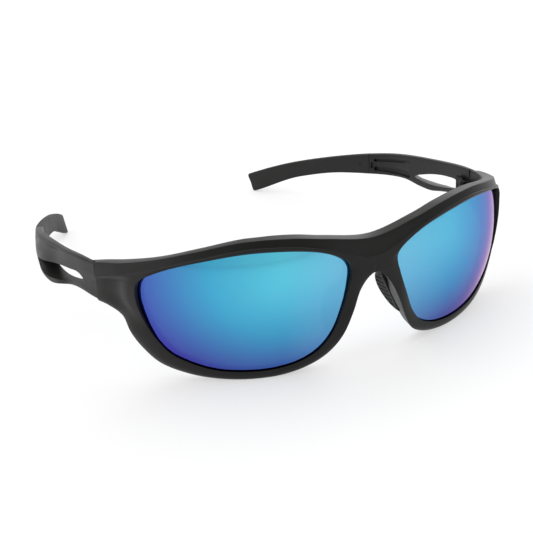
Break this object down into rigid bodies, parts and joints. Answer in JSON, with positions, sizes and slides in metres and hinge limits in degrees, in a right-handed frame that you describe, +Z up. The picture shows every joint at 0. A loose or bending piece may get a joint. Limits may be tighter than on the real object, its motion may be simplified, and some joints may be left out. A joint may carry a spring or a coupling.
{
  "type": "wraparound sports sunglasses",
  "caption": "Full-rim wraparound sports sunglasses with mirrored lenses, soft nose pads and folding temples that have a window near the hinge and rubber tips.",
  "frame": {"origin": "on the table, under the middle of the glasses' box, temples open", "axes": "+Z up, the lenses face -Y, the temples run towards +Y, the wearer's right side is -X"},
  "size_m": [0.1528, 0.1714, 0.0449],
  "materials": {
    "black_nylon": "satin black injection-moulded nylon",
    "mirror_lens": "ice-blue mirror coating that turns violet at the edges, on a dark lens",
    "tip_rubber": "soft matte black rubber",
    "pad_rubber": "ribbed soft black rubber",
    "hinge_steel": "plain steel"
  },
  "bodies": {
    "front": {"front_frame": "black_nylon", "lens_right": "mirror_lens", "lens_left": "mirror_lens", "nose_pad_right": "pad_rubber", "nose_pad_left": "pad_rubber", "hinge_front_leaf_right": "hinge_steel", "hinge_front_leaf_left": "hinge_steel", "hinge_screw_right": "hinge_steel", "hinge_screw_left": "hinge_steel", "front_leaf_screw_right": "hinge_steel", "front_leaf_screw_left": "hinge_steel"},
    "temple_arm_right": {"temple_right": "black_nylon", "temple_tip_right": "tip_rubber", "hinge_temple_leaf_right": "hinge_steel", "temple_leaf_screw_right": "hinge_steel"},
    "temple_arm_left": {"temple_left": "black_nylon", "temple_tip_left": "tip_rubber", "hinge_temple_leaf_left": "hinge_steel", "temple_leaf_screw_left": "hinge_steel"}
  },
  "joints": [
    {"name": "temple_fold_right", "type": "hinge", "parent": "front", "child": "temple_arm_right", "pos_m": [-0.067, -0.03821, 0.0269], "axis": [0, 0, -1], "range_deg": [0, 84]},
    {"name": "temple_fold_left", "type": "hinge", "parent": "front", "child": "temple_arm_left", "pos_m": [0.067, -0.03821, 0.0269], "axis": [0, 0, 1], "range_deg": [0, 72]}
  ]
}
